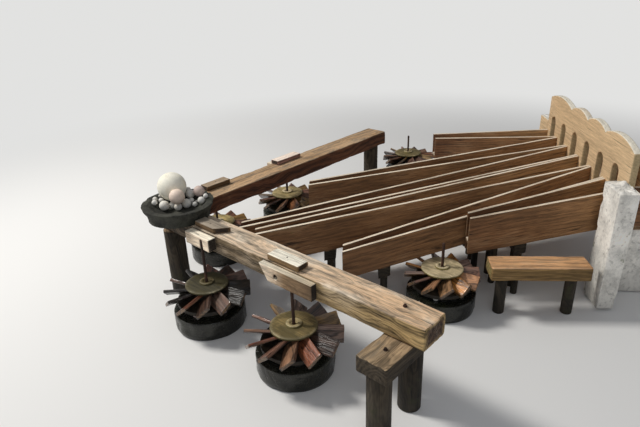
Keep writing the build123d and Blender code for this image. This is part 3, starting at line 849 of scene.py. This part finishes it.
lapped_beam("front_beam", 0, True, beam_wood, "front beam timber", (0.0, 1.0))
lapped_beam("rear_beam", 1, False, rear_wood, "rear beam timber", (0.3, 0.8))
round_posts("beam_posts", "post_wood", post_wood, "round beam posts", POST_FLATS,
            amp=0.006, around=48, step=0.02)
round_posts("support_logs", "post_wood", post_wood, "round support logs", LOG_FLATS,
            amp=0.006, around=48, step=0.02)
round_posts("trestle_legs", "post_wood", post_wood, "round trestle legs", LEG_FLATS,
            amp=0.003, around=20, step=0.05)
round_posts("spindles", "iron", iron, "iron spindles",
            amp=0.0006, around=16, step=0.004, ease=0.009, rib=0.0011)
plain_timbers("cap_timber", "post_wood", post_wood, "hewn cap timber", axis=(0, 1, 0),
              amp=0.006, ease=0.01, spacing=0.02, step=0.02, chip=0.012)
plain_timbers("beam_cleats", "cleat_wood", cleat_wood, "worn beam cleats", tones=CLEAT_TONES,
              amp=0.003, ease=0.006, spacing=0.012, step=0.012, chip=0.008)
nails_and_nuts()
worn_copy("spindle_blocks", "worn spindle blocks", block_wood_with_painted_light_and_shade, 0.005, 0.002, BLOCK_TONES)


# Weir and headrace


def weir_axes():
    """Directions along the weir and upstream of it, from the headrace floor's corners."""
    points = solids("headrace_floor")[0]
    right = points[np.argmax(points[:, 0])]
    front = points[np.argmin(points[:, 1])]
    ahead = unit((right - front) * (1, 1, 0))
    return np.array((ahead[1], -ahead[0], 0.0)), ahead


along_weir, upstream = weir_axes()

plain_timbers("headrace_floor", "board_wood", board_wood, "headrace floor board", axis=along_weir)
plain_timbers("headrace_back", "board_wood", board_wood, "headrace back board", axis=along_weir)
plain_timbers("side_board", "weir_wood", weir_wood, "pale side board", axis=along_weir)
plain_timbers("headrace_ends", "board_wood", board_wood, "headrace end boards", axis=upstream)
plain_timbers("headrace_piers", "limestone", limestone, "stone headrace piers", axis=along_weir,
              amp=0.02, size=0.25, ease=0.03, chip=0.03, step=0.03)
plain_timbers("end_stones", "limestone", limestone, "white end stones", axis=UP, up=upstream,
              amp=0.04, size=0.3, ease=0.05, chip=0.06, spacing=0.02, step=0.025)
worn_copy("weir_plank", "slotted weir plank", weir_wood, 0.008, 0.002, (0.2, 0.8),
          turn=np.array((along_weir, upstream, UP)))


# Chutes and step


def chute_sides(number):
    """Side boards of a chute, lighter at the weir and darker where they stay wet."""
    node = f"chute_{number}_sides"
    shape = Shape()
    for points in solids(node):
        tones = (rng.uniform(0.55, 0.95), rng.uniform(0.0, 0.3))
        board(shape, end_faces(points, -upstream), amp=0.003, size=0.2, ease=0.0035, spacing=0.025,
              step=0.03, chip=0.006, seed=number * 2, tone=tones)
    shape.build(f"chute {number} side boards", [node], board_wood)


for number in range(1, 7):
    chute_sides(number)
plain_timbers("chute_floors", "board_wood", board_wood, "chute floor boards", axis=-upstream,
              amp=0.002, ease=0.003, step=0.06)
plain_timbers("trestle_bearers", "post_wood", post_wood, "sawn trestle bearers", axis=along_weir,
              amp=0.003, ease=0.006)
plain_timbers("step_timber", "beam_wood", step_wood, "squared step timber", axis=upstream,
              amp=0.006, ease=0.012, spacing=0.015, step=0.02, chip=0.012)


# Wheels and base stones

BORE = 0.014
STONE_FLATS = 16
GROOVE_FLATS = 20
DISC_INSIDE = 0.996
WASHER_INSIDE = 0.965
CORE_INSIDE = 0.96
MOUTH_SHARE = 0.52
SOCKET_FLOOR = 0.11
SOCKET_REACH = 0.1
SOCKET_EASE = 1.02
# Each rim as pairs: how far in from the radius, and how far down from the top
DISC_RIM = ((0.008, 0.001), (0.002, 0.005), (0.0, 0.011))
RUNNER_RIM = ((0.003, 0.003), (0.0, 0.01))
STONE_RIM = ((0.005, 0.003), (0.0, 0.012))
# Wheel A's darkest disc and paddle tones are partly wet wood and partly painted shade from the front beam
# above it.
DISC_TONES = {"a": 0.0, "b": 0.42, "c": 1.0, "d": 0.72, "e": 0.5, "f": 0.66}
PADDLE_TONES = {
    "a": (0.0, 0.1, 0.62, 0.0, 0.05),
    "b": (0.2, 0.4, 0.25, 0.8, 0.6, 0.05),
    "c": (1.0, 0.9, 0.78, 0.3, 0.2),
}
OTHER_PADDLE_TONES = (0.1, 0.4, 0.25, 0.7, 0.55)


def levels_of(points):
    """Heights of a solid's level faces, from the lowest."""
    return np.unique(np.round(points[:, 2], 4))


def level_row(low, high, count, height):
    """Profile points at one height and even radii between two, both left out."""
    return [(radius, height) for radius in np.linspace(low, high, count + 2)[1:-1]]


def rim_row(radius, top, rim):
    """Profile points down an eased rim."""
    return [(radius - inward, top - down) for inward, down in rim]


def wheel_disc(letter, centre):
    """Top disc, and the washer that is raised on it, both rough edged."""
    body, node = f"wheel_{letter}", f"wheel_{letter}_disc"
    points = solids(node)[0]
    bottom, top, rise = levels_of(points)[:3]
    reach = reach_from(centre, points)
    radius = reach.max() * DISC_INSIDE
    washer = reach[points[:, 2] > rise - LEVEL_GAP].max() * WASHER_INSIDE
    tone = DISC_TONES[letter]
    profile = [(BORE, bottom), (BORE, top - 0.002), *level_row(BORE, radius - 0.014, 12, top)]
    profile += rim_row(radius, top, DISC_RIM) + [(radius, bottom + 0.004), (radius - 0.004, bottom)]
    profile += level_row(BORE, radius - 0.01, 4, bottom)[::-1]
    shape = Shape()
    turned(shape, centre, profile, around=128, amp=0.003, seed=ord(letter), tone=tone, chip=0.008,
           edge=radius)
    mouth = washer * MOUTH_SHARE
    profile = [(BORE, top - 0.001), (BORE, top + 0.003), (mouth - 0.006, top + 0.005), (mouth, rise - 0.002)]
    profile += [(mouth + 0.005, rise), (washer - 0.008, rise), (washer - 0.002, rise - 0.004)]
    profile += [(washer, top + 0.004), (washer, top - 0.001)]
    ring = Shape()
    turned(ring, centre, profile, around=40, amp=0.0025, size=0.03, seed=ord(letter) + 9,
           tone=min(1.0, tone + 0.35), edge=washer)
    shape.build(f"wheel {letter} top disc", [node], disc_wood, body)
    ring.build(f"wheel {letter} washer", [node], disc_wood, body)


def wheel_runner(letter, centre):
    """Grinding runner and its core."""
    body, node = f"wheel_{letter}", f"wheel_{letter}_runner"
    points = solids(node)[0]
    bottom, shelf, top = levels_of(points)
    reach = reach_from(centre, points)
    radius = reach.max() * DISC_INSIDE
    core = reach[points[:, 2] > top - LEVEL_GAP].max() * CORE_INSIDE
    profile = [(BORE, bottom), (BORE, top), (core - 0.01, top), (core, top - 0.004), (core, shelf)]
    profile += level_row(core, radius - 0.008, 6, shelf) + rim_row(radius, shelf, RUNNER_RIM)
    profile += [(radius, bottom + 0.01), (radius - 0.01, bottom)]
    profile += level_row(BORE, radius - 0.02, 5, bottom)[::-1]
    shape = Shape()
    turned(shape, centre, profile, around=96, amp=0.003, seed=ord(letter) + 3, chip=0.006, edge=radius)
    shape.build(f"wheel {letter} round runner", [node], runner_wood_in_painted_shade, body)


def wheel_paddles(letter, centre):
    """Flat boards set at a slant round the core."""
    body, node = f"wheel_{letter}", f"wheel_{letter}_paddles"
    tones = PADDLE_TONES.get(letter, OTHER_PADDLE_TONES)
    shape = Shape()
    for number, points in enumerate(solids(node)):
        outward = unit((points.mean(0) - centre) * (1, 1, 0))
        rim = points[np.argsort(points @ outward)[4:]]
        slant = np.linalg.svd(rim - rim.mean(0))[2][0]
        thin = np.cross(outward, slant)
        thin = thin * np.sign(thin[2])
        board(shape, end_faces(points, outward, thin), amp=0.004, size=0.06, ease=0.005, spacing=0.01,
              step=0.014, chip=0.012, seed=number + ord(letter), tone=tones[number % len(tones)])
    shape.build(f"wheel {letter} paddle boards", [node], paddle_wood, body)


def base_stones():
    """Wet black base stones with a V-shaped groove for the marbles."""
    shape = Shape()
    for number, points in enumerate(solids("base_stones")):
        _, high, centre = extent(points)
        reach = reach_from(centre, points)
        radius = reach.max() * inside(STONE_FLATS)
        top = high[2]
        below_top = (points[:, 2] > SOCKET_FLOOR) & (points[:, 2] < top - LEVEL_GAP)
        in_groove = below_top & (reach > SOCKET_REACH)
        dip = points[in_groove][:, 2].min()
        ring = reach[in_groove].mean() * inside(GROOVE_FLATS)
        half = top - dip
        socket = reach.min() * SOCKET_EASE
        profile = [(socket, SOCKET_FLOOR), (socket, top), *level_row(socket, ring - half, 5, top)]
        profile += [(ring - half, top), (ring - half / 2, top - half / 2), (ring, dip)]
        profile += [(ring + half / 2, top - half / 2), (ring + half, top)]
        profile += level_row(ring + half, radius - 0.012, 3, top) + rim_row(radius, top, STONE_RIM)
        profile += [(radius, z) for z in np.linspace(top - 0.03, 0.02, 7)]
        profile += [(radius - 0.008, 0.001), (radius - 0.03, 0), (0.15, 0), (0.06, 0)]
        turned(shape, centre, profile, around=112, seed=number, chip=0.014, edge=radius)
    shape.build("wet base stones", ["base_stones"], mill_stone)


for body, centre in WHEELS.items():
    wheel_disc(body[-1], centre)
    wheel_runner(body[-1], centre)
    wheel_paddles(body[-1], centre)
base_stones()


# Marbles and their bowl

MARBLE_TONES = (0.25, 0.5, 0.5, 0.4, 0.05)
LARGEST_TONES = (1.0, 0.75)
OUT_OF_TRUE = 0.012
POLE_GAP = 0.02
BOWL_FLATS = 32
BOWL_SKIN = 0.006
BOWL_SPACING = 0.008


def balls(node, name, around, rows, tones=()):
    """Marbles as round solids, each a little out of true, with tones for the largest."""
    shape = Shape()
    found = []
    for corners, normals, places in pieces(node):
        centre = corners.mean(0)
        found.append((np.median(np.einsum("ij,ij->i", normals, places - centre)), centre))
    found.sort(key=lambda ball: -ball[0])
    tilts = np.linspace(POLE_GAP, math.pi - POLE_GAP, rows)
    across = [np.outer(np.sin(tilts), part) for part in circle(around)]
    ball = np.stack((*across, np.outer(-np.cos(tilts), np.ones(around))), -1)
    for number, (radius, centre) in enumerate(found):
        offset = rng.uniform(-50, 50, 3)
        dent = OUT_OF_TRUE * (0.5 + 0.5 * ripple(ball * 1.5 + offset, 1.0, number))
        tone = tones[number] if number < len(tones) else rng.choice(MARBLE_TONES)
        skin = centre + ball * (radius * (1 - dent))[..., None]
        shape.tube(skin, ball * radius + offset, 0.0, np.full(rows, tone), steps=1)
    shape.build(name, [node], marble)


def stone_bowl():
    """Hewn bowl with a worn hollow, its profile read off the solid's corner points."""
    points = solids("stone_bowl")[0]
    low, _, centre = extent(points)
    reach = reach_from(centre, points) * inside(BOWL_FLATS)
    pairs = {(round(float(r), 3), round(float(z), 3)) for r, z in zip(reach, points[:, 2])}
    foot = max(r for r, z in pairs if z < low[2] + LEVEL_GAP)
    outside = sorted((z, r) for r, z in pairs if r > foot - LEVEL_GAP)
    hollow = sorted((z, r) for r, z in pairs if r < foot - LEVEL_GAP)
    corners = [(AXIS_GAP, hollow[0][0]), *[(r, z) for z, r in hollow], *[(r, z) for z, r in outside[::-1]]]
    corners.append((AXIS_GAP, low[2]))
    profile = []
    for (r0, z0), (r1, z1) in zip(corners, corners[1:]):
        count = max(1, int(math.hypot(r1 - r0, z1 - z0) / BOWL_SPACING))
        profile += [(r0 + (r1 - r0) * k / count, z0 + (z1 - z0) * k / count) for k in range(count)]
    profile.append(corners[-1])
    skin = [BOWL_SKIN if r > foot - 0.02 or z < low[2] + 0.002 else 0.0 for r, z in profile]
    shape = Shape()
    turned(shape, centre, profile, around=160, amp=skin, size=0.045, seed=4, tone=0.5, chip=0.02,
           edge=outside[-1][1])
    shape.build("hewn stone bowl", ["stone_bowl"], bowl_stone)


balls("grinding_marbles", "round grinding marbles", 20, 12)
balls("bowl_marbles", "marbles in the bowl", 48, 28, LARGEST_TONES)
stone_bowl()


# Floor, light and camera

FLOOR_REACH = 60.0
FLOOR_PLACE = (1.2, 1.8, -0.0005)
FADE_START = 3.5
FADE_END = 8.0
BACKDROP = (0.76, 0.76, 0.75)
WORLD_COLOUR = (0.93, 0.95, 1.0)
WORLD_LIGHT = 0.28


def pale_floor():
    """Pale floor that keeps shadows near the mill and is evenly pale to the camera far off."""
    f = Finish("pale floor")
    f.set(Base_Color=(0.8, 0.8, 0.79), Roughness=0.9)
    place = f.node("TexCoord", output="Object")
    distance = f.node("VectorMath", {"operation": "LENGTH"}, {0: place}, output="Value")
    seen = f.node("LightPath", output="Is Camera Ray")
    far = f.node("Emission", None, {"Color": BACKDROP})
    share = f.band(distance, FADE_START, FADE_END) * seen
    shader = Wire(f, f.shader.outputs[0])
    f.show(f.node("MixShader", None, {0: share, 1: shader, 2: far}))
    return f.material


def floor():
    """Level floor well beyond the mill, centred under it."""
    corners = [(x * FLOOR_REACH, y * FLOOR_REACH, 0) for x, y in ((-1, -1), (1, -1), (1, 1), (-1, 1))]
    mesh = bpy.data.meshes.new("floor")
    mesh.from_pydata(corners, [], [(0, 1, 2, 3)])
    mesh.materials.append(pale_floor())
    piece = placed("floor", mesh)
    piece.location = FLOOR_PLACE


def lamp(name, place, target, size, power, colour):
    """Soft square lamp that looks at a point."""
    light = bpy.data.lights.new(name, "AREA")
    light.size = size
    light.energy = power
    light.color = colour
    piece = placed(name, light)
    piece.location = place
    piece.rotation_euler = (Vector(target) - Vector(place)).to_track_quat("-Z", "Y").to_euler()


def studio_world():
    """Even soft light all round, plain pale where the camera sees past the floor."""
    world = bpy.data.worlds.new("studio")
    w = Wiring(world, "World")
    light = w.node("Background", None, {"Color": WORLD_COLOUR, "Strength": WORLD_LIGHT})
    backdrop = w.node("Background", None, {"Color": BACKDROP})
    seen = w.node("LightPath", output="Is Camera Ray")
    w.show(w.node("MixShader", None, {0: seen, 1: light, 2: backdrop}))
    bpy.context.scene.world = world


def photo_camera():
    """Camera at the photograph's place, tilt and roll."""
    sensor = 36.0
    picture_width = 640
    focal_pixels = 537.3
    pitch = math.radians(24.4415)
    roll = math.radians(2.0322)
    place = Vector((3.70, -2.17, 2.56))
    level = Vector((-0.67880, 0.73432, 0.0))
    up = Vector((0, 0, 1))
    forward = (level * math.cos(pitch) - up * math.sin(pitch)).normalized()
    right = forward.cross(up).normalized()
    down = forward.cross(right).normalized()
    x_axis = math.cos(roll) * right + math.sin(roll) * down
    y_axis = math.sin(roll) * right - math.cos(roll) * down
    camera = bpy.data.cameras.new("photo camera")
    camera.sensor_width = sensor
    camera.lens = sensor * focal_pixels / picture_width
    piece = placed("photo camera", camera)
    turn = Matrix((x_axis, y_axis, -forward)).transposed().to_4x4()
    piece.matrix_world = Matrix.Translation(place) @ turn
    bpy.context.scene.camera = piece


floor()
lamp("key", (-4.6, -2.6, 8.0), (1.2, 1.4, 0.3), 2.0, 800, (1.0, 0.97, 0.92))
lamp("fill", (6.5, -5.0, 5.0), (1.3, 1.0, 0.3), 5.0, 80, (0.93, 0.96, 1.0))
studio_world()
photo_camera()
bpy.context.scene.view_settings.view_transform = "Standard"
